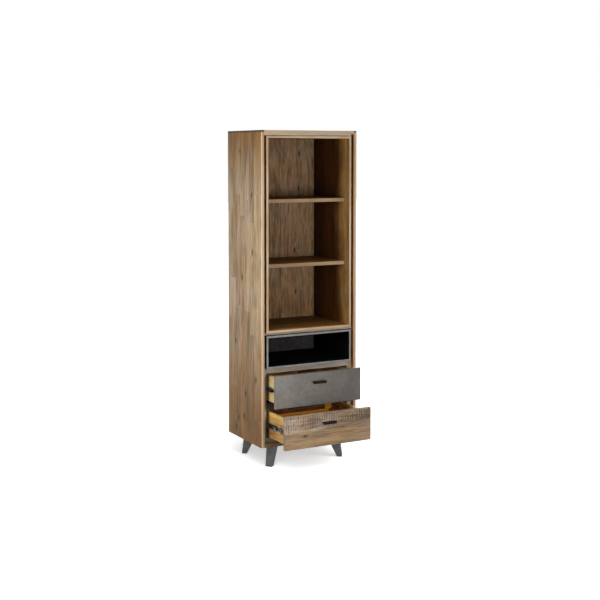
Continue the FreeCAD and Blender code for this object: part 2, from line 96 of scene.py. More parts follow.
class WoodSettings(bpy.types.PropertyGroup):
    """Colours of the boards, and the staves that they are glued up from."""

    case_light: colour("Case, light", "Light streaks of the outer case", 189, 167, 140)
    case_dark: colour("Case, dark", "Dark streaks of the outer case", 129, 107, 81)
    box_light: colour("Box, light", "Light streaks of the shelf box and shelves", 166, 128, 78)
    box_dark: colour("Box, dark", "Dark streaks of the shelf box and shelves", 98, 68, 32)
    back_light: colour("Box back, light", "Light streaks of the box's back", 153, 124, 94)
    back_dark: colour("Box back, dark", "Dark streaks of the box's back", 76, 54, 33)
    edge: colour("Sanded edges", "Front edges of the case and the shelf box", 186, 163, 136)
    shelf_edge: colour("Sanded shelf edges", "Front edges of the shelves", 168, 141, 111)
    frame_light: colour("Frame, light", "Light streaks of the inner frame", 178, 168, 152)
    frame_dark: colour("Frame, dark", "Dark streaks of the inner frame", 120, 110, 97)
    drawer_light: colour("Drawer, light", "Light streaks of the drawer boxes", 254, 226, 164)
    drawer_inside: colour("Drawer inside", "Light streaks inside the drawers", 212, 140, 44)
    drawer_dark: colour("Drawer, dark", "Dark streaks of the drawer boxes", 88, 46, 12)
    front_light: colour("Lower front, light", "Light streaks of the smooth plank", 160, 133, 105)
    front_dark: colour("Lower front, dark", "Dark streaks of the smooth plank", 97, 75, 56)
    sawn_light: colour("Sawn plank, light", "Light streaks of the rough plank", 212, 196, 174)
    sawn_dark: colour("Sawn plank, marks", "Saw marks in the rough plank", 52, 42, 33)
    stained: colour("Niche boards", "Stained boards round the metal niche", 24, 22, 21)
    case_plank: length("Case stave", "Width of the staves in the outer case", 0.058)
    box_plank: length("Box stave", "Width of the staves in the shelf box", 0.085)
    drawer_plank: length("Drawer stave", "Width of the staves in the drawer boxes", 0.052)
    stave: length("Stave length", "Length of the staves in the outer case", 0.62)
    short_stave: length("Short stave length", "Length of the staves in the drawers", 0.24)


class MetalSettings(bpy.types.PropertyGroup):
    """Colours of the sheet metal, the handles and the runners."""

    sheet: colour("Drawer sheet", "Sheet on the upper drawer's front", 101, 97, 91)
    niche_edge: colour("Niche edge", "Bare front edge of the niche's lining", 140, 137, 135)
    niche_inside: colour("Niche inside", "Waxed iron inside the niche", 5, 5, 5)
    niche_back: colour("Niche back", "Waxed iron at the back of the niche", 45, 41, 42)
    leg: colour("Legs", "Lacquer on the legs", 78, 76, 74)
    handle: colour("Handles", "Blackened iron of the handles", 27, 22, 20)
    zinc: colour("Zinc", "Plating of the runners and fasteners", 160, 166, 178)
    plastic: colour("Plastic", "Plastic of the glides, ball cages and levers", 20, 20, 21)


class SmallPartSettings(bpy.types.PropertyGroup):
    """Sizes of the fasteners, of the parts inside the runners and of the saw marks."""

    leg_screw_width: length("Leg screw", "Width across the flats of its head", 0.010)
    leg_screw_height: length("Leg screw height", "How far its head stands off the plate", 0.004)
    back_screw_width: length("Back screw", "Width of a screw head in the back board", 0.0075)
    ball: length("Ball", "Diameter of a ball in the runners", 0.003)
    cage_length: length("Ball cage", "Length of the strip that holds the balls", 0.150)
    saw_pitch: length("Saw mark spacing", "Distance from one saw mark to the next", 0.0145)
    saw_width: length("Saw mark width", "Width of one saw mark", 0.0078)
    saw_depth: length("Saw mark depth", "Depth of the deepest saw marks", 0.0009)


class StudioSettings(bpy.types.PropertyGroup):
    """Lamps, surroundings and floor."""

    side_lamp: number("Side lamp", "Power of the flat lamp on the left, in watts", 30.5)
    front_lamp: number("Front lamp", "Power of the flat lamp in front, in watts", 80.0)
    back_lamp: number("Back lamp", "Power of the flat lamp behind, in watts", 75.0)
    top_lamp: number("Top lamp", "Strength of the soft lamp above", 1.2)
    floor_lamp: number("Floor lamp", "Strength of the lamp that lights the floor alone", 7.6)
    sky: number("Surroundings", "Strength of the surroundings as a source of light", 0.05)
    floor: colour("Floor", "Colour of the floor", 245, 245, 245)


# --- Finishes ---

WHITE = (1.0, 1.0, 1.0)


class Nodes:
    """A node tree under construction: adds nodes, sets their sockets and links them."""

    def __init__(self, tree):
        self.tree = tree
        tree.nodes.clear()

    def add(self, kind, inputs=(), **settings):
        """A node with its settings, and with its inputs linked or set."""
        node = self.tree.nodes.new(kind)
        for key, value in settings.items():
            setattr(node, key, value)
        for key, value in dict(inputs).items():
            self.feed(node.inputs[key], value)
        return node

    def feed(self, socket, value):
        """Links a socket to another node's output, or sets it to a plain value."""
        if isinstance(value, bpy.types.NodeSocket):
            self.tree.links.new(value, socket)
        elif socket.type == "RGBA" and len(value) == 3:
            socket.default_value = (*value, 1.0)
        else:
            socket.default_value = value

    def math(self, operation, first, second=0.0, third=0.0):
        inputs = {0: first, 1: second, 2: third}
        return self.add("ShaderNodeMath", inputs, operation=operation).outputs[0]

    def scaled(self, value, factor, offset=0.0):
        """The value times factor, plus offset."""
        return self.math("MULTIPLY_ADD", value, factor, offset)

    def fold(self, operation, values):
        """One value out of several, by the same operation between each two."""
        result = values[0]
        for value in values[1:]:
            result = self.math(operation, result, value)
        return result

    def seen_rays(self):
        """1 for a ray from the camera, from a reflection or through glass, else 0."""
        rays = self.add("ShaderNodeLightPath").outputs
        kinds = ("Is Camera Ray", "Is Glossy Ray", "Is Transmission Ray")
        return self.fold("MAXIMUM", [rays[kind] for kind in kinds])


class Finish(Nodes):
    """A material under construction, with textures that follow the object's own axes."""

    def __init__(self, name):
        self.material = bpy.data.materials.new(name)
        self.material.use_nodes = True
        super().__init__(self.material.node_tree)
        self.surface = self.add("ShaderNodeBsdfPrincipled")
        self.add("ShaderNodeOutputMaterial", {"Surface": self.surface.outputs["BSDF"]})
        place = self.add("ShaderNodeTexCoord").outputs["Object"]
        parts = self.add("ShaderNodeSeparateXYZ", {"Vector": place}).outputs
        self.point = {axis: parts[axis] for axis in "XYZ"}

    def vector(self, x, y, z):
        return self.add("ShaderNodeCombineXYZ", {"X": x, "Y": y, "Z": z}).outputs[0]

    def body(self, stretched=None, stretch=1.0):
        """The point's place, drawn out along one axis."""
        parts = dict(self.point)
        if stretched:
            parts[stretched] = self.scaled(parts[stretched], stretch)
        return self.vector(*parts.values())

    def noise(self, vector, scale, detail=2.0, roughness=0.5, distortion=0.0):
        inputs = {"Vector": vector, "Scale": scale, "Detail": detail, "Roughness": roughness}
        inputs["Distortion"] = distortion
        return self.add("ShaderNodeTexNoise", inputs).outputs["Fac"]

    def chance(self, seed):
        """A random number from 0 to 1 that stays the same for the same seed."""
        node = self.add("ShaderNodeTexWhiteNoise", {"W": seed}, noise_dimensions="1D")
        return node.outputs["Value"]

    def spread(self, value, low, high, to_low=0.0, to_high=1.0, smooth=True):
        """Stretches low to high over to_low to to_high, and clips what lies outside."""
        inputs = {"Value": value, "From Min": low, "From Max": high}
        inputs.update({"To Min": to_low, "To Max": to_high})
        kind = "SMOOTHSTEP" if smooth else "LINEAR"
        return self.add("ShaderNodeMapRange", inputs, interpolation_type=kind).outputs[0]

    def mix(self, share, first, second, blend="MIX"):
        inputs = {"Factor": share, 6: first, 7: second}
        return self.add("ShaderNodeMix", inputs, data_type="RGBA", blend_type=blend).outputs[2]

    def tint(self, shade, share, first, second):
        """Multiplies a shade by a colour between first and second."""
        return self.mix(1.0, shade, self.mix(share, first, second), "MULTIPLY")

    def bump(self, height, depth, strength=1.0):
        inputs = {"Height": height, "Distance": depth, "Strength": strength}
        self.set(normal=self.add("ShaderNodeBump", inputs).outputs[0])

    def set(self, **values):
        """Sets or links inputs of the surface, such as base_color or roughness."""
        for key, value in values.items():
            socket = key.replace("_", " ").title().replace("Ior", "IOR")
            self.feed(self.surface.inputs[socket], value)


WHOLE_BOARD = 9.0
SEAM = 0.0006
RING_WIDTH = 0.0075
KNOT_SIZE = 0.045
KNOTS_PER_METRE = 5.2
KNOT_SQUEEZE = 0.42
NO_KNOT = 9.0
REDDISH = (1.08, 0.96, 0.88)
OLIVE = (0.97, 1.02, 0.88)
GREYISH = (0.96, 1.0, 1.10)
DUSKY = (0.97, 0.99, 1.05)
HONEYED = (1.05, 0.99, 0.90)
# Painted highlight: how much paler the rounded outer corner of the case's front edges is painted.
CORNER_HIGHLIGHT = (1.28, 1.26, 1.18)


class Wood(Finish):
    """Solid wood, glued up from staves.

    grain and across name the axes along the fibres and across the staves. plank and stave are
    a stave's width and length. The seed picks another board of the same kind. A higher fine
    makes narrower streaks. knots is how often a knot comes up, and spots are single knots:
    place across, place along the grain, and size.
    """

    def __init__(
        self, name, grain, across, light, dark, plank, seed,
        stave=WHOLE_BOARD, contrast=1.0, variety=1.0, fine=1.0, knots=0.0, spots=(),
    ):
        super().__init__(name)
        self.light, self.dark, self.seed = tuple(light), tuple(dark), seed
        self.along, self.across = self.point[grain], self.point[across]
        self.inward = self.point["XYZ".replace(grain, "").replace(across, "")]
        self.lay_staves(plank, stave)
        self.set_knots(knots, spots)
        self.draw_grain(contrast, variety, fine)
        self.colour_staves(variety)
        self.colour_knots()

    def lay_staves(self, plank, stave):
        """Rows of staves side by side, with butt joints at other heights in each row."""
        rows = self.math("DIVIDE", self.math("ADD", self.across, self.seed * 0.137), plank)
        row, in_row = self.math("FLOOR", rows), self.math("FRACT", rows)
        row_luck = self.chance(self.math("ADD", row, self.seed))
        pieces = self.scaled(self.along, 1.0 / stave, self.scaled(row_luck, 7.0))
        piece, in_piece = self.math("FLOOR", pieces), self.math("FRACT", pieces)
        label = self.scaled(row, 17.3, self.scaled(piece, 5.9, self.seed))
        self.luck = self.chance(label)
        self.hue_luck = self.chance(self.math("ADD", label, 50.0))
        self.jump = self.scaled(self.luck, 9.0)
        seams = [
            self.spread(place, inner, edge)
            for place, share in ((in_row, SEAM / plank), (in_piece, SEAM / stave))
            for inner, edge in ((share, 0.0), (1.0 - share, 1.0))
        ]
        self.seam = self.fold("MAXIMUM", seams)

    def set_knots(self, knots, spots):
        """How far the nearest knot lies, in knot sizes, and how the fibres bend round it."""
        flat = self.vector(self.across, self.scaled(self.along, KNOT_SQUEEZE), 0.0)
        gaps = []
        if knots:
            shift = {0: flat, 1: (self.seed, 0.0, 0.0)}
            shifted = self.add("ShaderNodeVectorMath", shift).outputs[0]
            cells = self.add("ShaderNodeTexVoronoi", {"Vector": shifted, "Scale": KNOTS_PER_METRE})
            draw = self.add("ShaderNodeSeparateColor", {"Color": cells.outputs["Color"]})
            lucky = self.math("LESS_THAN", draw.outputs["Red"], knots)
            near = self.math("DIVIDE", cells.outputs["Distance"], KNOT_SIZE)
            gaps.append(self.math("ADD", near, self.scaled(lucky, -NO_KNOT, NO_KNOT)))
        for across, along, size in spots:
            ends = {0: flat, 1: (across, along * KNOT_SQUEEZE, 0.0)}
            gap = self.add("ShaderNodeVectorMath", ends, operation="DISTANCE").outputs["Value"]
            gaps.append(self.math("DIVIDE", gap, size))
        self.gap = self.fold("MINIMUM", gaps) if gaps else None
        self.lane = self.across
        if gaps:
            self.lane = self.math("ADD", self.across, self.spread(self.gap, 5.0, 0.6, 0.0, 0.012))

    def streaks(self, scale, stretch, **settings):
        """Noise drawn out along the grain, and cut off at each stave's edge."""
        along = self.scaled(self.along, stretch, self.jump)
        sideways, inward = (self.math("ADD", part, self.jump) for part in (self.lane, self.inward))
        return self.noise(self.vector(sideways, inward, along), scale, **settings)

    def rings(self):
        """Yearly rings cut at a slant, with long arches near the heart of the log."""
        sideways = self.math("ADD", self.lane, self.scaled(self.hue_luck, 0.05, -0.025))
        inward = self.scaled(self.along, 0.035, self.scaled(self.luck, 0.02))
        inward = self.scaled(self.streaks(9.0, 0.3), 0.05, inward)
        place = {0: self.vector(sideways, inward, 0.0)}
        radius = self.add("ShaderNodeVectorMath", place, operation="LENGTH").outputs["Value"]
        turns = self.scaled(radius, 2 * math.pi / RING_WIDTH)
        wave = self.math("SINE", self.scaled(self.streaks(60.0, 0.2), 4.0, turns))
        return self.scaled(wave, 0.5, 0.5)

    def draw_grain(self, contrast, variety, fine):
        """The lightness of the wood, from broad figure down to single fibres and pores."""
        self.fibres = self.streaks(430.0, 0.035, roughness=0.6)
        self.pores = self.spread(self.streaks(820.0, 0.08, detail=1.0), 0.62, 0.76)
        self.drift = self.noise(self.body(), 3.4)
        figure = self.streaks(22.0 * fine, 0.12, detail=3.0, distortion=0.4)
        lines = self.streaks(95.0 * fine, 0.07, detail=4.0, roughness=0.62, distortion=0.5)
        textures = (
            (figure, 1.5 * contrast),
            (lines, 1.7 * contrast),
            (self.rings(), 0.14 * contrast),
            (self.fibres, 1.0 * contrast),
            (self.drift, 0.7 * contrast),
            (self.luck, 0.55 * variety),
        )
        level = 0.5 - sum(weight for _, weight in textures) / 2
        for texture, weight in textures:
            level = self.scaled(texture, weight, level)
        self.shade = self.mix(self.spread(level, 0.0, 1.0, smooth=False), self.dark, self.light)

    def smudge(self, share, darkness):
        """Blends the shade towards the dark grain's colour times darkness."""
        self.shade = self.mix(share, self.shade, times(self.dark, darkness))

    def colour_staves(self, variety):
        """A reddish, olive or greyish cast to each stave, pores and seams."""
        cast = self.mix(self.spread(self.hue_luck, 0.0, 0.5), REDDISH, OLIVE)
        cast = self.mix(self.spread(self.hue_luck, 0.5, 1.0), cast, GREYISH)
        self.shade = self.tint(self.shade, min(1.0, 0.75 * variety), WHITE, cast)
        patches = self.spread(self.noise(self.body(), 8.0), 0.35, 0.65)
        self.shade = self.tint(self.shade, patches, DUSKY, HONEYED)
        self.smudge(self.scaled(self.pores, 0.35), 0.4)
        self.smudge(self.scaled(self.seam, 0.5), 0.35)
        self.height = self.math("SUBTRACT", self.scaled(self.pores, -0.6, self.fibres), self.seam)

    def colour_knots(self):
        """Dark hearts in the knots, with a soft ring round them."""
        if self.gap:
            wobble = self.scaled(self.streaks(150.0, 0.4), 1.1, -0.55)
            gap = self.math("ADD", self.gap, wobble)
            self.smudge(self.spread(gap, 2.6, 0.9, 0.0, 0.4), 0.5)
            self.smudge(self.spread(gap, 1.15, 0.6, 0.0, 0.93), 0.1)

    def sand_front(self, edge_colour, limit, corner=None):
        """Sanded edges on all in front of y = limit, with a painted highlight further out than x =
        corner.
        """
        worn_share = self.spread(self.fibres, 0.3, 0.7)
        worn = self.mix(worn_share, times(edge_colour, 0.76), times(edge_colour, 0.95))
        worn = self.mix(self.spread(self.drift, 0.35, 0.65, 0.0, 0.45), worn, self.shade)
        # Painted highlight: the outer strip of the edge is painted paler, where the rounded corner
        # catches the light.
        if corner:
            out = self.math("ABSOLUTE", self.point["X"])
            rubbed = self.spread(out, corner - 0.002, corner + 0.001)
            worn = self.mix(rubbed, worn, times(edge_colour, *CORNER_HIGHLIGHT))
        self.shade = self.mix(self.math("LESS_THAN", self.point["Y"], limit), self.shade, worn)

    def paint_gap_shade(self, limit, factors):
        """Painted shade: everything nearer the middle of the case than x = limit is painted
        darker, as the shadow in the gap inside the case's sides.
        """
        inside = self.math("LESS_THAN", self.math("ABSOLUTE", self.point["X"]), limit)
        self.shade = self.tint(self.shade, inside, WHITE, factors)

    def darken_end(self, level):
        """A thin, broken dark line along a board's upper end."""
        near_end = self.scaled(self.streaks(26.0, 1.0, detail=3.0), 0.014, self.point["Z"])
        self.smudge(self.spread(near_end, level - 0.004, level, 0.0, 0.9), 0.12)

    def paint_shade_along(self, axis, plain, deep, factors):
        """Painted shade: wood that goes darker along an axis, from its own colour to that times
        factors.
        """
        place = self.scaled(self.drift, 0.2, self.point[axis])
        share = self.spread(place, plain + 0.1, deep + 0.1)
        self.shade = self.tint(self.shade, share, WHITE, factors)

    def mark_saw_cuts(self, dark):
        """Grey, rough wood, with the saw's cuts dark where the mesh has its grooves."""
        cut = self.add("ShaderNodeAttribute", attribute_name=SAW_CUT).outputs["Fac"]
        rough = self.noise(self.body("Z", 0.10), 300.0, detail=3.0, roughness=0.7)
        strokes = self.spread(rough, 0.50, 0.66)
        self.shade = self.mix(self.scaled(strokes, 0.25), self.shade, times(dark, 1.3))
        torn = self.spread(self.fibres, 0.2, 0.6, 0.78, 1.0)
        torn = self.math("MULTIPLY", self.spread(cut, 0.03, 0.45), torn)
        self.shade = self.mix(self.scaled(torn, 0.8), self.shade, dark)
        self.height = self.scaled(strokes, -1.2, self.height)

    def done(self, shine=0.30):
        """Sets the surface and hands the material over."""
        roughness = self.spread(self.fibres, 0.25, 0.75, 0.50, 0.68, smooth=False)
        self.set(base_color=self.shade, roughness=roughness, specular_ior_level=shine)
        self.bump(self.height, 0.0004, 0.55)
        return self.material


def metal_finish(
    name, base, roughness, metallic=1.0, shine=0.5, cloud=0.18,
    brush=None, depth=0.0001, edge=None, shaded_side=None,
):
    """Metal with soft clouds in its colour and fine grain in its polish.

    brush names the axis along which it is brushed. edge is (colour, y): everything in front
    of y has that colour. shaded_side is (x, x, factor): between them the colour is painted darker,
    a painted shade.
    """
    made = Finish(name)
    clouds = made.noise(made.body(), 7.0, detail=5.0, roughness=0.6)
    stain = made.noise(made.body(), 38.0, detail=3.0, roughness=0.65)
    level = made.scaled(stain, 0.4, made.scaled(clouds, 0.6))
    grain = made.noise(made.body(brush, 0.01), 900.0 if brush else 1400.0)
    deepest, palest = times(base, (1.0 - cloud) ** 1.5), times(base, 1.0 + cloud)
    shade = made.mix(made.spread(level, 0.36, 0.64), deepest, palest)
    warmth = made.spread(made.noise(made.body(), 11.0), 0.4, 0.6)
    shade = made.tint(shade, warmth, (1.03, 0.99, 0.96), (0.98, 1.0, 1.03))
    shade = made.tint(shade, made.spread(grain, 0.3, 0.7), times(WHITE, 0.93), (1.05, 1.05, 1.05))
    if shaded_side:
        start, end, factor = shaded_side
        # Painted shade: the colour darkens between the two places along X.
        share = made.spread(made.scaled(clouds, 0.25, made.point["X"]), start, end)
        shade = made.tint(shade, share, WHITE, (factor, factor * 0.98, factor * 0.96))
    if edge:
        edge_colour, limit = edge
        rubbed = made.mix(made.spread(stain, 0.3, 0.7), times(edge_colour, 0.72), edge_colour)
        shade = made.mix(made.math("LESS_THAN", made.point["Y"], limit), shade, rubbed)
    dull = made.spread(level, 0.3, 0.7, roughness - 0.1, roughness)
    made.set(base_color=shade, roughness=made.scaled(grain, 0.12, dull))
    made.set(metallic=metallic, specular_ior_level=shine)
    made.bump(made.scaled(stain, 2.0, grain), depth, 0.5)
    return made.material


def zinc_finish(name, base, seed, dull_brightness=0.5):
    """Zinc plating with faint blue and yellow in it. dull_brightness is how bright its dull,
    bluish patches are.
    """
    made = Finish(name)
    sheen = made.noise(made.body("Y", 0.15), 34.0 + seed, detail=3.0)
    drawn = made.noise(made.body("Y", 0.01), 1500.0)
    bluish = times(base, dull_brightness, dull_brightness * 1.1, dull_brightness * 1.4)
    shade = made.mix(made.spread(sheen, 0.38, 0.66), bluish, base)
    shade = made.mix(made.spread(sheen, 0.6, 0.8, 0.0, 0.5), shade, times(base, 1.0, 0.93, 0.72))
    polish = made.spread(drawn, 0.3, 0.7, 0.22, 0.38)
    made.set(base_color=shade, roughness=polish, metallic=1.0)
    made.bump(drawn, 0.0001, 0.3)
    return made.material


def plastic_finish(name, base):
    """Moulded plastic with a fine grain."""
    made = Finish(name)
    grain = made.noise(made.body(), 1200.0)
    polish = made.spread(grain, 0.3, 0.7, 0.45, 0.6)
    made.set(base_color=made.mix(grain, times(base, 0.8), base), roughness=polish)
    made.bump(grain, 0.0001, 0.4)
    return made.material


def dress(material, *nodes):
    """Gives CAD nodes a material."""
    for node in nodes:
        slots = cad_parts[node].data.materials
        slots.clear()
        slots.append(material)


def sides(stem):
    """The left and the right node of a pair."""
    return stem + "_left", stem + "_right"


# --- Meshes ---

ROUND = 24
SMOOTH_BELOW = 0.6


def new_piece(name, bm, material, body):
    """A new object that moves with a CAD body, smooth but for its sharper edges."""
    bmesh.ops.recalc_face_normals(bm, faces=bm.faces)
    for face in bm.faces:
        face.smooth = True
    for edge in bm.edges:
        edge.smooth = len(edge.link_faces) == 2 and edge.calc_face_angle() < SMOOTH_BELOW
    mesh = bpy.data.meshes.new(name)
    bm.to_mesh(mesh)
    bm.free()
    mesh.materials.append(material)
    piece = bpy.data.objects.new(name, mesh)
    bpy.context.scene.collection.objects.link(piece)
    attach(piece, body)
    return piece


def circle(bm, radius, height, count, matrix):
    """Points in a ring about Z, or a single one where the radius is 0."""
    points = []
    for step in range(count if radius else 1):
        angle = 2 * math.pi * step / count
        point = Vector((radius * math.cos(angle), radius * math.sin(angle), height))
        points.append(bm.verts.new(matrix @ point))
    return points


def band(bm, lower, upper):
    """Faces all the way round between two rings of points, of which one may be a tip."""
    count = max(len(lower), len(upper))
    for step in range(count):
        following = (step + 1) % count
        corners = [lower[place % len(lower)] for place in (step, following)]
        corners += [upper[place % len(upper)] for place in (following, step)]
        bm.faces.new(tuple(dict.fromkeys(corners)))


def fill_between(bm, loops):
    """Fills the flat face inside the first ring of points and outside the others."""
    edges = []
    for loop in loops:
        for pair in zip(loop, loop[1:] + loop[:1]):
            edges.append(bm.edges.get(pair) or bm.edges.new(pair))
    bmesh.ops.triangle_fill(bm, use_beauty=True, edges=edges)


def turned(bm, profile, count, matrix):
    """Turns a profile of (radius, height) pairs about Z. A radius of 0 closes an end."""
    rings = [circle(bm, radius, height, count, matrix) for radius, height in profile]
    for lower, upper in zip(rings, rings[1:]):
        band(bm, lower, upper)


def hex_screw_head(bm, width, height, matrix):
    """A hexagonal head on its round flange, from the plate outwards along Z."""
    flange, rim = width * 0.68, width / math.sqrt(3)
    top = height * 0.3
    disc = [(0, 0), (flange, 0), (flange, height * 0.2), (width * 0.56, top), (0, top)]
    turned(bm, disc, ROUND, matrix)
    foot, shoulder = height * 0.25, height * 0.88
    head = [(0, foot), (rim, foot), (rim, shoulder), (rim * 0.84, height), (0, height)]
    turned(bm, head, 6, matrix)


def cross_screw_head(bm, width, matrix):
    """A flat countersunk head with a cross-shaped recess, its top at z = 0, its cone below."""
    radius = width / 2
    arm_long, arm_wide, depth = radius * 0.56, radius * 0.14, radius * 0.35
    outline = []
    for quarter in range(4):
        turn = Matrix.Rotation(quarter * math.pi / 2, 3, "Z")
        for x, y in ((arm_long, -arm_wide), (arm_long, arm_wide), (arm_wide, arm_wide)):
            outline.append(turn @ Vector((x, y, 0)))
    top = [bm.verts.new(matrix @ point) for point in outline]
    floor = [bm.verts.new(matrix @ (point * 0.7 - Vector((0, 0, depth)))) for point in outline]
    band(bm, top, floor)
    bm.faces.new(floor)
    profile = ((0.94, 0.0), (1.0, -0.06), (0.5, -0.56))
    rings = [circle(bm, radius * out, radius * up, ROUND, matrix) for out, up in profile]
    band(bm, rings[1], rings[0])
    band(bm, rings[2], rings[1])
    bm.faces.new(rings[2])
    fill_between(bm, [top, rings[0]])


def countersunk_board(low, high, spots, radius):
    """A board with a cone-shaped hole in its rear face at each (x, z) spot."""
    bm = bmesh.new()
    around = ((low.x, low.z), (high.x, low.z), (high.x, high.z), (low.x, high.z))
    front, rear = ([bm.verts.new((x, y, z)) for x, z in around] for y in (low.y, high.y))
    bm.faces.new(front)
    band(bm, front, rear)
    loops = [rear]
    turns = [2 * math.pi * step / ROUND for step in range(ROUND)]
    for x, z in spots:
        rim, foot = [], []
        for ring, reach, y in ((rim, radius, high.y), (foot, radius * 0.4, high.y - radius * 0.6)):
            for turn in turns:
                place = (x + reach * math.cos(turn), y, z + reach * math.sin(turn))
                ring.append(bm.verts.new(place))
        bm.faces.new(foot)
        band(bm, rim, foot)
        loops.append(rim)
    fill_between(bm, loops)
    return bm


def box_between(bm, low, high):
    """A straight block between two corners."""
    middle = Matrix.Translation([(far + near) / 2 for near, far in zip(low, high)])
    scale = Matrix.Diagonal([*(far - near for near, far in zip(low, high)), 1.0])
    bmesh.ops.create_cube(bm, size=1.0, matrix=middle @ scale)


def plate(bm, outline, x_near, x_far):
    """A flat plate between two places along X, over an outline of (y, z) points."""
    near, far = ([bm.verts.new((x, y, z)) for y, z in outline] for x in (x_near, x_far))
    bm.faces.new(near)
    bm.faces.new(far)
    band(bm, near, far)


# --- The sawn plank ---

SAW_CUT = "saw_cut"
SAW_SEED = 11
EDGE_ROUND = 0.0025
JOINT_CHAMFER = 0.0008
EDGE_STEPS = 5
COLUMN_STEP, ROW_STEP = 0.0014, 0.0028


def stations(low, high, step, low_round, high_round):
    """Places from low to high, closer together within the rounded stretch at each end."""
    inner_low, inner_high = low + low_round, high - high_round
    count = round((inner_high - inner_low) / step)
    near_end = [(index / EDGE_STEPS) ** 2 for index in range(EDGE_STEPS)]
    places = [low + low_round * share for share in near_end]
    places += [inner_low + (inner_high - inner_low) * index / count for index in range(count + 1)]
    return places + [high - high_round * share for share in reversed(near_end)]


class SawMarks:
    """Upright cuts: a band of short deep ones that climbs to the right, and long faint ones."""

    def __init__(self, low, high, pitch, width):
        draw = random.Random(SAW_SEED)
        self.pitch, self.start = pitch, low.x
        self.cuts = []
        height = high.z - low.z
        count = math.ceil((high.x - low.x) / pitch)
        for number in range(count):
            right = number / count
            centre = low.x + (number + 0.5) * pitch
            climb = 0.30 + 0.30 * right + draw.uniform(-0.06, 0.06)
            group = 0.8 + 0.2 * math.sin(number * 0.9 + 1.5) * math.sin(number * 0.37)
            group *= 0.7 + 0.3 * right
            # Each stroke has its middle, reach and strength, and how far it may wander aside.
            deep = (climb, draw.uniform(0.14, 0.28), draw.uniform(0.6, 1.0) * group, 0.1)
            low_faint = [draw.uniform(*span) for span in ((0.08, 0.3), (0.1, 0.2), (0.05, 0.3))]
            high_faint = [draw.uniform(*span) for span in ((0.66, 0.92), (0.14, 0.3), (0.15, 0.5))]
            high_faint[2] += 0.4 * right
            strokes = []
            for middle, reach, strength, wander in (deep, (*low_faint, 0.4), (*high_faint, 0.15)):
                place = centre + draw.uniform(-wander, wander) * pitch
                breadth = width / 2 * draw.uniform(0.6, 1.1)
                strokes.append((place, low.z + height * middle, height * reach, breadth, strength))
            self.cuts.append(strokes)

    def depth(self, x, z):
        """How deep the cuts are at a point of the face, from 0 to 1."""
        index = int((x - self.start) / self.pitch)
        deepest = 0.0
        for strokes in self.cuts[max(0, index - 1) : index + 2]:
            for place, middle, reach, breadth, strength in strokes:
                across = 1.0 - abs(x - place + 0.02 * (z - middle)) / breadth
                along = 1.0 - abs(z - middle) / reach
                if across > 0 and along > 0:
                    torn = 0.85 + 0.15 * math.sin(z * 1300 + place * 5000)
                    hollow = min(1.0, 3 * along) * math.sin(across * math.pi / 2)
                    deepest = max(deepest, strength * torn * hollow)
        return deepest


def rounded(x, z, low, high):
    """How far the face falls back at its rounded ends and top, and at its joint's chamfer."""
    aside = max(0.0, EDGE_ROUND - min(x - low.x, high.x - x))
    above = max(0.0, EDGE_ROUND - (high.z - z))
    reach = min(EDGE_ROUND, math.hypot(aside, above))
    fall = EDGE_ROUND - math.sqrt(EDGE_ROUND**2 - reach**2)
    return max(fall, JOINT_CHAMFER - (z - low.z))


def sawn_plank(low, high, small):
    """A plank with the saw's cuts as grooves in its face."""
    marks = SawMarks(low, high, small.saw_pitch, small.saw_width)
    columns = stations(low.x, high.x, COLUMN_STEP, EDGE_ROUND, EDGE_ROUND)
    rows = stations(low.z, high.z, ROW_STEP, JOINT_CHAMFER, EDGE_ROUND)
    bm = bmesh.new()
    cut_layer = bm.verts.layers.float.new(SAW_CUT)
    face = []
    for x in columns:
        column = []
        for z in rows:
            fall = rounded(x, z, low, high)
            cut = marks.depth(x, z) if fall < small.saw_depth else 0.0
            vert = bm.verts.new((x, low.y + fall + cut * small.saw_depth, z))
            vert[cut_layer] = cut
            column.append(vert)
        face.append(column)
    under, over = ([bm.verts.new((x, high.y, z)) for x in columns] for z in (low.z, high.z))
    for index in range(len(columns) - 1):
        here, there = face[index], face[index + 1]
        for step in range(len(rows) - 1):
            bm.faces.new((here[step], there[step], there[step + 1], here[step + 1]))
        bm.faces.new((under[index], under[index + 1], there[0], here[0]))
        bm.faces.new((over[index + 1], over[index], here[-1], there[-1]))
        bm.faces.new((under[index], over[index], over[index + 1], under[index + 1]))
    for end in (0, -1):
        bm.faces.new([*face[end], over[end], under[end]])
    return bm


# --- Operators: wood and metal ---

# How far behind its foremost point a board or sheet still counts as its front edge.
CASE_EDGE, SHELF_EDGE, LINING_EDGE = 0.0008, 0.0012, 0.0006
# Width of the painted highlight along the rounded outer corner of the case's sides.
CORNER_HIGHLIGHT_WIDTH = 0.007
SIDE_KNOTS = (
    (0.011, 1.181, 0.0066), (0.145, 1.032, 0.0072), (0.023, 1.497, 0.0058),
    (0.172, 1.737, 0.0052), (0.231, 0.664, 0.0066), (-0.027, 0.482, 0.0068),
    (0.103, 0.383, 0.0068), (0.120, 0.255, 0.0092), (0.197, 0.234, 0.0068),
    (0.227, 0.175, 0.0072),
)
BACK_KNOTS = (
    (0.154, 1.723, 0.0056), (0.150, 1.519, 0.0052), (0.124, 1.154, 0.0054),
    (0.131, 0.910, 0.0048), (-0.105, 1.640, 0.0036), (-0.160, 1.060, 0.0036),
    (-0.060, 0.840, 0.0036),
)
FRONT_KNOTS = ((0.218, -0.145, 0.0058),)


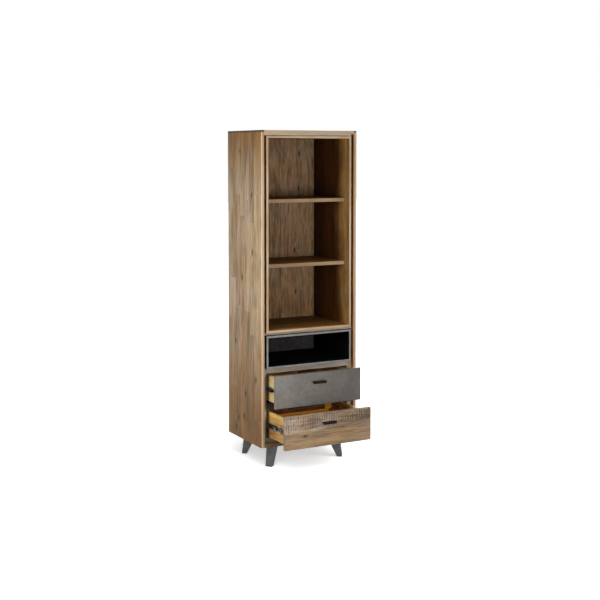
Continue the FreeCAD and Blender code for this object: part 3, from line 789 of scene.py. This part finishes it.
class BOOKCASE_OT_case(bpy.types.Operator):
    """Finish the outer case: sides, top and bottom."""

    bl_idname = "bookcase.case"
    bl_label = "Outer case"

    def execute(self, context):
        wood = context.scene.bookcase_wood
        common = (wood.case_light, wood.case_dark, wood.case_plank)
        low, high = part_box("side_panel_left")
        front = low.y + CASE_EDGE
        plan = (("left", 3.0, {"spots": SIDE_KNOTS}), ("right", 6.0, {"knots": 0.55}))
        for side, seed, knots in plan:
            upright = Wood(
                "case_wood_" + side, "Z", "Y", *common, seed,
                stave=wood.stave, contrast=1.3, variety=0.7, **knots,
            )
            # Painted shade: the sides are painted darker towards the bottom and towards the top.
            upright.paint_shade_along("Z", 0.95, 0.2, (0.72, 0.56, 0.37))
            upright.paint_shade_along("Z", 1.42, 1.9, (0.54, 0.38, 0.19))
            # Painted shade: the sides' inner faces are painted darker and redder, as the shadow in
            # the gap.
            upright.paint_gap_shade(-high.x + 0.0002, (1.0, 0.60, 0.28))
            # The sanded front edge, with a painted highlight on its outer corner.
            upright.sand_front(wood.edge, front, -low.x - CORNER_HIGHLIGHT_WIDTH)
            upright.darken_end(high.z)
            dress(upright.done(shine=0.12), "side_panel_" + side)
        level = Wood(
            "case_wood_level", "X", "Y", *common, 8.0, stave=wood.stave, variety=0.6, knots=0.4
        )
        level.sand_front(wood.edge, front)
        # Painted shade: the bottom board is painted darker below about z = 0.4.
        level.paint_shade_along("Z", 0.4, 0.1, (0.50, 0.42, 0.34))
        dress(level.done(shine=0.12), "top_panel", "bottom_panel")
        return {"FINISHED"}


class BOOKCASE_OT_shelf_box(bpy.types.Operator):
    """Finish the shelf box: walls, back, shelves and pins."""

    bl_idname = "bookcase.shelf_box"
    bl_label = "Shelf box"

    def execute(self, context):
        wood = context.scene.bookcase_wood
        wall_low, wall_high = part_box("box_side_left")
        front = wall_low.y + CASE_EDGE
        shelf_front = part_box("shelf_upper")[0].y + SHELF_EDGE
        # Painted shade: the box's walls, floor, top and shelves are painted darker towards the
        # back of the box.
        painted_shade_reach = 0.38 * (wall_high.y - front)
        # The walls' sanded front edges are painted 1.22 times paler, a painted highlight.
        walls = {"factors": (0.17, 0.095, 0.02), "edge": times(wood.edge, 1.22), "limit": front}
        levels = {**walls, "factors": (0.42, 0.33, 0.16)}
        shelves = {**levels, "edge": wood.shelf_edge, "limit": shelf_front}
        plan = (
            ("box_wood_upright", "Z", 11.0, painted_shade_reach, walls, sides("box_side")),
            ("box_wood_level", "X", 14.0, 0.05, levels, ("box_floor", "box_top")),
            ("shelf_wood", "X", 17.0, 0.05, shelves, ("shelf_lower", "shelf_upper")),
        )
        for name, grain, seed, reach, painted_shade_and_edge, nodes in plan:
            board = Wood(
                name, grain, "Y", wood.box_light, wood.box_dark, wood.box_plank, seed,
                variety=0.6, fine=1.3, knots=0.25,
            )
            board.paint_shade_along("Y", front, front + reach, painted_shade_and_edge["factors"])
            board.sand_front(painted_shade_and_edge["edge"], painted_shade_and_edge["limit"])
            dress(board.done(shine=0.12), *nodes)
        back = Wood(
            "box_back_wood", "Z", "X", wood.back_light, wood.back_dark, 0.112, 21.0,
            variety=0.4, fine=2.4, spots=BACK_KNOTS,
        )
        # Painted shade: the back is painted darker towards the bottom.
        back.paint_shade_along("Z", 1.15, 0.75, (0.95, 0.90, 0.80))
        dress(back.done(shine=0.12), "box_back")
        dress(zinc_finish("pin_steel", context.scene.bookcase_metal.zinc, 3.0), "shelf_pins")
        return {"FINISHED"}


class BOOKCASE_OT_niche(bpy.types.Operator):
    """Finish the niche: stained boards, metal lining and metal back."""

    bl_idname = "bookcase.niche"
    bl_label = "Niche"

    def execute(self, context):
        metal = context.scene.bookcase_metal
        stained = context.scene.bookcase_wood.stained
        boards = Wood("niche_board", "X", "Y", stained, times(stained, 0.5), 0.3, 2.0)
        dress(boards.done(shine=0.2), "niche_sides", "niche_floor", "niche_top")
        edge = (tuple(metal.niche_edge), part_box("niche_lining")[0].y + LINING_EDGE)
        lining = metal_finish(
            "niche_metal", metal.niche_inside, 0.7, 0.0, shine=0.04, cloud=0.3, edge=edge
        )
        back = metal_finish(
            "niche_back_metal", metal.niche_back, 0.62, 0.0, shine=0.12, cloud=0.35, brush="X"
        )
        dress(lining, "niche_lining")
        dress(back, "niche_back")
        return {"FINISHED"}


class BOOKCASE_OT_inner_frame(bpy.types.Operator):
    """Finish the grey inner frame: runner boards, dividers and rails."""

    bl_idname = "bookcase.inner_frame"
    bl_label = "Inner frame"

    def execute(self, context):
        wood = context.scene.bookcase_wood
        plan = (
            ("upright", "Z", 1.0, 31.0, sides("runner_board")),
            ("level", "X", 1.0, 34.0, ("upper_divider", "lower_divider", "bottom_rail")),
            # The top rail's copy is painted 1.8 times paler, a painted light; the middle rail's
            # copy, named stained, is painted 0.16 times as bright, a painted shade.
            ("pale", "X", 1.8, 36.0, ("top_rail",)),
            ("stained", "X", 0.16, 38.0, ("middle_rail",)),
        )
        for name, grain, factor, seed, nodes in plan:
            light, dark = (times(shade, factor) for shade in (wood.frame_light, wood.frame_dark))
            name = "frame_wood_" + name
            board = Wood(name, grain, "Y", light, dark, 0.1, seed, contrast=0.8, variety=0.5)
            dress(board.done(), *nodes)
        return {"FINISHED"}


class BOOKCASE_OT_drawer_boxes(bpy.types.Operator):
    """Finish the dovetailed drawer boxes."""

    bl_idname = "bookcase.drawer_boxes"
    bl_label = "Drawer boxes"

    def execute(self, context):
        self.wood = context.scene.bookcase_wood
        outer, inner, dark = self.wood.drawer_light, self.wood.drawer_inside, self.wood.drawer_dark
        plan = (
            ("upper", 43.0, outer, times(outer, 0.42)),
            ("lower", 47.0, times(outer, 0.88, 0.80, 0.62), times(dark, 2.6)),
        )
        for drawer, seed, light, deep in plan:
            cross = drawer + "_inner_front", drawer + "_back"
            inner_dark = times(dark, 0.6)
            self.finish(drawer + "_side", "YZ", light, deep, seed, 1.1, sides(drawer + "_side"))
            self.finish(drawer + "_cross", "XZ", inner, inner_dark, seed + 2.0, 2.2, cross)
            bottom = drawer + "_bottom"
            self.finish(bottom, "XY", inner, dark, seed + 4.0, 1.5, [bottom])
        self.finish("front_core", "XZ", outer, times(dark, 1.5), 53.0, 0.8, ["upper_front_core"])
        return {"FINISHED"}

    def finish(self, name, axes, light, dark, seed, variety, nodes):
        """Oiled wood in short staves."""
        board = Wood(
            name + "_wood", *axes, light, dark, self.wood.drawer_plank, seed,
            stave=self.wood.short_stave, contrast=0.75, variety=variety, knots=0.15,
        )
        dress(board.done(shine=0.2), *nodes)


class BOOKCASE_OT_fronts(bpy.types.Operator):
    """Finish the drawer fronts: sheet metal above, a sawn plank and a smooth one below."""

    bl_idname = "bookcase.fronts"
    bl_label = "Drawer fronts"

    def execute(self, context):
        wood = context.scene.bookcase_wood
        low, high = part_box("upper_front_skin")
        # Painted shade: the sheet's right side is painted darker.
        sheet = metal_finish(
            "front_sheet", context.scene.bookcase_metal.sheet, 0.5, 0.45, cloud=0.17,
            brush="X", depth=0.00012, shaded_side=(low.x + 0.08, high.x + 0.06, 0.54),
        )
        dress(sheet, "upper_front_skin")
        smooth = Wood(
            "front_plank_smooth", "X", "Z", wood.front_light, wood.front_dark, 0.3, 61.0,
            contrast=1.35, spots=FRONT_KNOTS,
        )
        dress(smooth.done(), "lower_front_plank_bottom")
        rough = Wood(
            "front_plank_sawn", "X", "Z", wood.sawn_light, times(wood.sawn_dark, 3.6), 0.3, 64.0,
            contrast=0.9,
        )
        # Painted shade: the plank is painted darker towards its right end.
        rough.paint_shade_along("X", -0.1, 0.2, (0.60, 0.58, 0.56))
        rough.mark_saw_cuts(tuple(wood.sawn_dark))
        bm = sawn_plank(*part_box("lower_front_plank_top"), context.scene.bookcase_small)
        finish = rough.done(shine=0.2)
        plank = new_piece("sawn_plank", bm, finish, "lower_drawer")
        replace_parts(plank, "lower_front_plank_top")
        return {"FINISHED"}


class BOOKCASE_OT_handles(bpy.types.Operator):
    """Finish the bent handles and their screws."""

    bl_idname = "bookcase.handles"
    bl_label = "Handles"

    def execute(self, context):
        metal = context.scene.bookcase_metal
        iron = metal_finish(
            "handle_iron", metal.handle, 0.6, 0.0, shine=0.06, cloud=0.4, depth=0.0004
        )
        dress(iron, "upper_handle", "lower_handle")
        screw = zinc_finish("screw_steel", metal.zinc, 7.0)
        dress(screw, "upper_handle_screws", "lower_handle_screws")
        return {"FINISHED"}


# --- Operators: legs, runners and back board ---

LEG_TURN = math.radians(36)
LEG_PLATE_SHEET = 0.003
LEG_PLATE_FACE = 0.0005
LEG_SCREW_INSET = 0.010


class BOOKCASE_OT_legs(bpy.types.Operator):
    """Finish the legs and glides, and put the screws in the leg plates."""

    bl_idname = "bookcase.legs"
    bl_label = "Legs"

    def execute(self, context):
        metal = context.scene.bookcase_metal
        lacquer = metal_finish("leg_metal", metal.leg, 0.42, 0.35, cloud=0.16, brush="Z")
        dress(plastic_finish("glide_plastic", metal.plastic), "leg_glides")
        steel = zinc_finish("leg_screw_steel", metal.zinc, 9.0)
        for leg in (*sides("leg_front"), *sides("leg_back")):
            dress(lacquer, leg)
            self.add_screws(leg, steel, context.scene.bookcase_small)
        return {"FINISHED"}

    def add_screws(self, leg, steel, small):
        """Four hexagonal heads under a leg's plate, near its corners."""
        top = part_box(leg)[1].z
        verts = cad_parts[leg].data.vertices
        points = [vert.co for vert in verts if vert.co.z > top - LEG_PLATE_FACE]
        middle = sum(points, Vector()) / len(points)
        x = math.copysign(math.cos(LEG_TURN), middle.x)
        y = math.copysign(math.sin(LEG_TURN), 1 if "back" in leg else -1)
        along, aside = (
            way * (max(abs((point - middle).dot(way)) for point in points) - LEG_SCREW_INSET)
            for way in (Vector((x, y, 0)), Vector((-y, x, 0)))
        )
        bm = bmesh.new()
        for corner in (-along - aside, -along + aside, along - aside, along + aside):
            spot = middle + corner
            spot.z = top - LEG_PLATE_SHEET
            matrix = Matrix.Translation(spot) @ Matrix.Rotation(math.pi, 4, "X")
            hex_screw_head(bm, small.leg_screw_width, small.leg_screw_height, matrix)
        new_piece(leg + "_screws", bm, steel, "case")


RUNNER_SHEET = 0.0012
CAGE_SHEET = 0.0004
CAGE_MARGIN = 0.004
CAGE_LIP = 0.0003
CAGE_PLAY = 0.0002
BALL_HOLD = 0.7
BALLS_IN_A_ROW = 9
# How far the cage's web and the balls' middles stand off the runner board.
OUTER_CAGE = (0.0014, 0.0055)
INNER_CAGE = (0.0034, 0.0068)
# Measured from the lever's front end and from its middle height.
LEVER_PIVOT = 0.068
LEVER_OUTLINE = (
    (0.030, -0.0055), (0.034, -0.0059), (0.060, -0.0042), (0.076, -0.0046), (0.084, -0.0026),
    (0.084, 0.0026), (0.076, 0.0046), (0.060, 0.0042), (0.046, 0.0010), (0.030, -0.0030),
)
LEVER_NEAR, LEVER_FAR = 0.0002, 0.0018
RIVET = ((0, 0), (0.0032, 0), (0.0028, 0.0007), (0.0012, 0.0010), (0, 0.0010))
RIVET_SIDES = 20


class BOOKCASE_OT_runners(bpy.types.Operator):
    """Finish the runners, and put in their ball cages and release levers."""

    bl_idname = "bookcase.runners"
    bl_label = "Runners"

    def execute(self, context):
        metal = context.scene.bookcase_metal
        # The runners' dull patches are made near-black.
        zinc = zinc_finish("runner_steel", metal.zinc, 0.0, dull_brightness=0.14)
        self.steel = zinc_finish("ball_steel", metal.zinc, 5.0)
        self.plastic = plastic_finish("runner_plastic", metal.plastic)
        for drawer in ("upper", "lower"):
            for side, inwards in (("left", 1), ("right", -1)):
                kinds = ("cabinet", "middle", "drawer")
                members = [f"{drawer}_runner_{kind}_{side}" for kind in kinds]
                dress(zinc, *members)
                boxes = [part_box(member) for member in members]
                self.add_cages(drawer, side, inwards, boxes, context.scene.bookcase_small)
                self.add_lever(drawer, side, inwards, boxes[2])
        return {"FINISHED"}

    def add_cages(self, drawer, side, inwards, boxes, small):
        """A cage between cabinet and middle member, and one between middle and drawer."""
        cabinet, middle = boxes[:2]
        level = (cabinet[0].z + cabinet[1].z) / 2
        wall = min(inwards * corner.x for corner in cabinet) * inwards
        ends = (middle[1].y - small.cage_length - CAGE_MARGIN, middle[0].y + CAGE_MARGIN)
        plan = (("outer", OUTER_CAGE, boxes[:2]), ("inner", INNER_CAGE, boxes[1:]))
        for (name, (web, ball_x), (outside, inside)), start in zip(plan, ends):
            half = (outside[1].z - level - RUNNER_SHEET + inside[1].z - level) / 2
            reach = ball_x + small.ball / 2 * BALL_HOLD
            spans = (
                (web + CAGE_SHEET, -half + CAGE_PLAY, half - CAGE_PLAY),
                (reach, half - CAGE_LIP, half + CAGE_LIP),
                (reach, -half - CAGE_LIP, -half + CAGE_LIP),
            )
            strips, balls = bmesh.new(), bmesh.new()
            for far, low, high in spans:
                x_low, x_high = sorted((wall + inwards * web, wall + inwards * far))
                end = start + small.cage_length
                box_between(strips, (x_low, start, level + low), (x_high, end, level + high))
            for step in range(BALLS_IN_A_ROW):
                y = start + (step + 0.5) / BALLS_IN_A_ROW * small.cage_length
                for z in (level - half, level + half):
                    seat = Matrix.Translation((wall + inwards * ball_x, y, z))
                    bmesh.ops.create_icosphere(
                        balls, subdivisions=2, radius=small.ball / 2, matrix=seat
                    )
            made = (("cage", strips, self.plastic), ("balls", balls, self.steel))
            for kind, bm, material in made:
                piece = f"{drawer}_{name}_{kind}_{side}"
                new_piece(piece, bm, material, drawer + "_runner_middles")

    def add_lever(self, drawer, side, inwards, box):
        """The lever inside the drawer member that lets the drawer go, on its rivet."""
        low, high = box
        body = drawer + "_drawer"
        level = (low.z + high.z) / 2
        web = max(inwards * corner.x for corner in box) * inwards - inwards * RUNNER_SHEET
        near, far = web - inwards * LEVER_NEAR, web - inwards * LEVER_FAR
        lever, rivet = bmesh.new(), bmesh.new()
        plate(lever, [(low.y + y, level + z) for y, z in LEVER_OUTLINE], near, far)
        seat = Matrix.Translation((far, low.y + LEVER_PIVOT, level))
        face = Matrix.Rotation(-math.pi / 2 * inwards, 4, "Y")
        turned(rivet, RIVET, RIVET_SIDES, seat @ face)
        new_piece(f"{drawer}_release_lever_{side}", lever, self.plastic, body)
        new_piece(f"{drawer}_lever_rivet_{side}", rivet, self.steel, body)


BACK_SCREW_INSET = 0.0055
BACK_SCREW_SUNK = 0.0002
BACK_SCREW_PLAY = 1.08
BACK_SCREW_ROWS, BACK_SCREW_COLUMNS = 9, 4


class BOOKCASE_OT_back_board(bpy.types.Operator):
    """Put in the back board, with a row of countersunk screws round its edge."""

    bl_idname = "bookcase.back_board"
    bl_label = "Back board"

    def execute(self, context):
        wood = context.scene.bookcase_wood
        width = context.scene.bookcase_small.back_screw_width
        low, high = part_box("back_panel")
        spots = self.screw_spots(low, high)
        board = Wood(
            "back_board", "Z", "X", wood.back_light, wood.back_dark, 0.29, 5.0,
            contrast=0.9, knots=0.1,
        )
        bm = countersunk_board(low, high, spots, width / 2 * BACK_SCREW_PLAY)
        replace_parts(new_piece("back_board", bm, board.done(), "case"), "back_panel")
        bm = bmesh.new()
        face_back = Matrix.Rotation(-math.pi / 2, 4, "X")
        for x, z in spots:
            seat = Matrix.Translation((x, high.y - BACK_SCREW_SUNK, z))
            turn = Matrix.Rotation(x * 17 + z * 29, 4, "Z")
            cross_screw_head(bm, width, seat @ face_back @ turn)
        steel = zinc_finish("back_screw_steel", context.scene.bookcase_metal.zinc, 11.0)
        new_piece("back_screws", bm, steel, "case")
        return {"FINISHED"}

    def screw_spots(self, low, high):
        """Places (x, z) of the screws, in rows up each side and along top and bottom."""
        inset, rows, columns = BACK_SCREW_INSET, BACK_SCREW_ROWS, BACK_SCREW_COLUMNS
        spots = set()
        for step in range(rows):
            z = low.z + inset + (high.z - low.z - 2 * inset) * step / (rows - 1)
            spots.update(((low.x + inset, z), (high.x - inset, z)))
        for step in range(columns):
            x = low.x + inset + (high.x - low.x - 2 * inset) * step / (columns - 1)
            spots.update(((x, low.z + inset), (x, high.z - inset)))
        return sorted(spots)


# --- Operator: the studio ---

CAMERA_PLACE = (-2.9831, -5.5317, 1.7267)
CAMERA_TURN = 0.49299
CAMERA_DIP = 0.05062
CAMERA_LENS = 67.63
CAMERA_SHIFT = -0.15
# Each flat lamp has its place, what it faces, and its width and height.
FLAT_LAMPS = {
    "side_lamp": ((-1.9, -0.8, 1.35), (-0.3, 0.0, 1.2), (1.0, 0.6)),
    "front_lamp": ((0.1, -3.8, 1.2), (0.0, 0.0, 1.2), (0.8, 0.8)),
    "back_lamp": ((2.4, 2.0, 1.5), (0.1, 0.1, 0.95), (1.0, 1.0)),
}
# Each far lamp has its place, and how many degrees wide it looks.
FAR_LAMPS = {
    "top_lamp": ((-0.48, -0.88, 4.0), 26.0),
    "floor_lamp": ((0.2, -4.0, 3.2), 100.0),
}
FLOOR_REACH = 30.0
FLOOR_GLOW = 0.48
FLOOR_BOUNCE = 0.12


class BOOKCASE_OT_studio(bpy.types.Operator):
    """Set up the camera, the lamps, the pale surroundings and the floor."""

    bl_idname = "bookcase.studio"
    bl_label = "Studio"

    def execute(self, context):
        scene = context.scene
        studio = scene.bookcase_studio
        self.add_camera(scene)
        floor = self.add_floor(scene, studio.floor)
        for name, (place, aim, (wide, high)) in FLAT_LAMPS.items():
            lamp = self.add_lamp(scene, name, "AREA", place, aim)
            lamp.data.shape = "RECTANGLE"
            lamp.data.size, lamp.data.size_y = wide, high
            self.link(lamp, floor, "EXCLUDE")
        for name, (place, breadth) in FAR_LAMPS.items():
            lamp = self.add_lamp(scene, name, "SUN", place, (0.0, 0.0, 0.0))
            lamp.data.angle = math.radians(breadth)
            self.link(lamp, floor, "INCLUDE" if name == "floor_lamp" else "EXCLUDE")
        self.add_surroundings(scene, studio.sky)
        scene.view_settings.view_transform = "Standard"
        return {"FINISHED"}

    def add_camera(self, scene):
        """The camera, level but for a slight dip, with its frame shifted down."""
        lens = bpy.data.cameras.new("camera")
        lens.sensor_width = 36.0
        lens.lens = CAMERA_LENS
        lens.shift_y = CAMERA_SHIFT
        camera = bpy.data.objects.new("camera", lens)
        scene.collection.objects.link(camera)
        camera.location = CAMERA_PLACE
        camera.rotation_euler = (math.pi / 2 - CAMERA_DIP, 0.0, -CAMERA_TURN)
        scene.camera = camera

    def add_lamp(self, scene, name, kind, place, aim):
        """A lamp as strong as the setting of its name, turned from its place to the aim."""
        lamp = bpy.data.objects.new(name, bpy.data.lights.new(name, kind))
        lamp.data.energy = getattr(scene.bookcase_studio, name)
        scene.collection.objects.link(lamp)
        lamp.location = place
        lamp.rotation_euler = (Vector(aim) - Vector(place)).to_track_quat("-Z", "Y").to_euler()
        return lamp

    def link(self, lamp, thing, state):
        """Keeps a lamp's light off one object, or on that object alone."""
        linked = bpy.data.collections.new(lamp.name + "_receivers")
        linked.objects.link(thing)
        lamp.light_linking.receiver_collection = linked
        linked.collection_objects[0].light_linking.link_state = state

    def add_surroundings(self, scene, strength):
        """White where the camera or a reflection sees them, and dimmer as a source of light."""
        world = bpy.data.worlds.new("surroundings")
        world.use_nodes = True
        made = Nodes(world.node_tree)
        lit, seen = (
            made.add("ShaderNodeBackground", {"Color": WHITE, "Strength": level}).outputs[0]
            for level in (strength, 1.0)
        )
        either = made.add("ShaderNodeMixShader", {0: made.seen_rays(), 1: lit, 2: seen})
        made.add("ShaderNodeOutputWorld", {"Surface": either.outputs[0]})
        scene.world = world

    def add_floor(self, scene, base):
        """A wide floor, white outside the shadow where seen, and dimmer as a source of light."""
        ways = ((-1, -1), (1, -1), (1, 1), (-1, 1))
        corners = [(x * FLOOR_REACH, y * FLOOR_REACH, 0) for x, y in ways]
        mesh = bpy.data.meshes.new("floor")
        mesh.from_pydata(corners, [], [(0, 1, 2, 3)])
        floor = bpy.data.objects.new("floor", mesh)
        scene.collection.objects.link(floor)
        made = Finish("floor_paint")
        seen = made.seen_rays()
        made.set(base_color=made.mix(seen, times(base, FLOOR_BOUNCE), tuple(base)), roughness=0.9)
        made.set(emission_color=WHITE, emission_strength=made.scaled(seen, FLOOR_GLOW))
        mesh.materials.append(made.material)
        return floor


# --- Panel and registration ---

STEPS = (
    BOOKCASE_OT_case,
    BOOKCASE_OT_shelf_box,
    BOOKCASE_OT_niche,
    BOOKCASE_OT_inner_frame,
    BOOKCASE_OT_drawer_boxes,
    BOOKCASE_OT_fronts,
    BOOKCASE_OT_handles,
    BOOKCASE_OT_legs,
    BOOKCASE_OT_runners,
    BOOKCASE_OT_back_board,
    BOOKCASE_OT_studio,
)
SETTINGS = {
    "bookcase_wood": WoodSettings,
    "bookcase_metal": MetalSettings,
    "bookcase_small": SmallPartSettings,
    "bookcase_studio": StudioSettings,
}


class BOOKCASE_PT_steps(bpy.types.Panel):
    """Lists the settings and the steps that dress the bookcase."""

    bl_idname = "BOOKCASE_PT_steps"
    bl_label = "Bookcase"
    bl_space_type = "VIEW_3D"
    bl_region_type = "UI"
    bl_category = "Bookcase"

    def draw(self, context):
        for key, group in SETTINGS.items():
            box = self.layout.box()
            for name in group.__annotations__:
                box.prop(getattr(context.scene, key), name)
        for step in STEPS:
            self.layout.operator(step.bl_idname)


def register():
    for key, group in SETTINGS.items():
        bpy.utils.register_class(group)
        setattr(bpy.types.Scene, key, bpy.props.PointerProperty(type=group))
    for step in (*STEPS, BOOKCASE_PT_steps):
        bpy.utils.register_class(step)


def unregister():
    for step in reversed((*STEPS, BOOKCASE_PT_steps)):
        bpy.utils.unregister_class(step)
    for key, group in SETTINGS.items():
        delattr(bpy.types.Scene, key)
        bpy.utils.unregister_class(group)


def main():
    """Registers the add-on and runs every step."""
    register()
    for step in STEPS:
        family, action = step.bl_idname.split(".")
        getattr(getattr(bpy.ops, family), action)()


if __name__ == "__main__":
    main()
